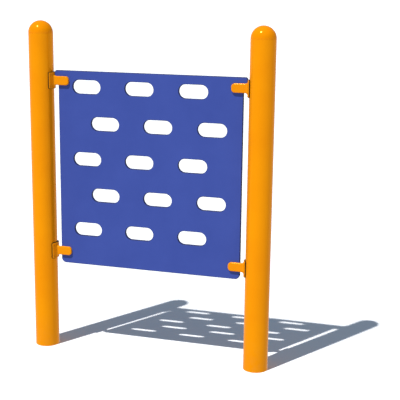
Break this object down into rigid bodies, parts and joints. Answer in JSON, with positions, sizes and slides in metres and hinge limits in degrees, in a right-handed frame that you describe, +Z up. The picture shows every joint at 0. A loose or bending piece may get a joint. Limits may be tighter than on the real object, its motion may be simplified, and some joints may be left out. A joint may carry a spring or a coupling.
{
  "type": "playground climbing wall",
  "caption": "Blue slotted climbing board held between orange round steel posts by cast corner brackets, for children to climb by its hand and foot slots.",
  "frame": {"origin": "ground level midway between the two posts", "axes": "+X to the climber's right along the board, +Y to the back of the board, +Z up; the climbing side faces -Y"},
  "size_m": [1.108, 0.108, 1.486],
  "materials": {
    "post_paint": "semi-gloss powder coat",
    "cap_paint": "semi-gloss powder coat",
    "bracket_paint": "semi-gloss powder coat on a casting",
    "board_plastic": "fine orange-peel texture",
    "pad_rubber": "matte black",
    "socket_steel": "zinc plated",
    "fastener_steel": "stainless",
    "nut_steel": "zinc plated",
    "washer_steel": "stainless"
  },
  "bodies": {
    "root": {"climbing_board": "board_plastic", "left_post_tube": "post_paint", "left_post_cap": "cap_paint", "left_foot_socket": "socket_steel", "left_socket_screws": "fastener_steel", "left_top_bracket": "bracket_paint", "left_top_bracket_pad": "pad_rubber", "left_top_flange_screws": "bracket_paint", "left_top_rivet_nuts": "nut_steel", "left_top_board_washer": "washer_steel", "left_top_board_bolt": "fastener_steel", "left_bottom_bracket": "bracket_paint", "left_bottom_bracket_pad": "pad_rubber", "left_bottom_flange_screws": "bracket_paint", "left_bottom_rivet_nuts": "nut_steel", "left_bottom_board_washer": "washer_steel", "left_bottom_board_bolt": "fastener_steel", "right_post_tube": "post_paint", "right_post_cap": "cap_paint", "right_foot_socket": "socket_steel", "right_socket_screws": "fastener_steel", "right_top_bracket": "bracket_paint", "right_top_bracket_pad": "pad_rubber", "right_top_flange_screws": "bracket_paint", "right_top_rivet_nuts": "nut_steel", "right_top_board_washer": "washer_steel", "right_top_board_bolt": "fastener_steel", "right_bottom_bracket": "bracket_paint", "right_bottom_bracket_pad": "pad_rubber", "right_bottom_flange_screws": "bracket_paint", "right_bottom_rivet_nuts": "nut_steel", "right_bottom_board_washer": "washer_steel", "right_bottom_board_bolt": "fastener_steel"}
  },
  "joints": []
}
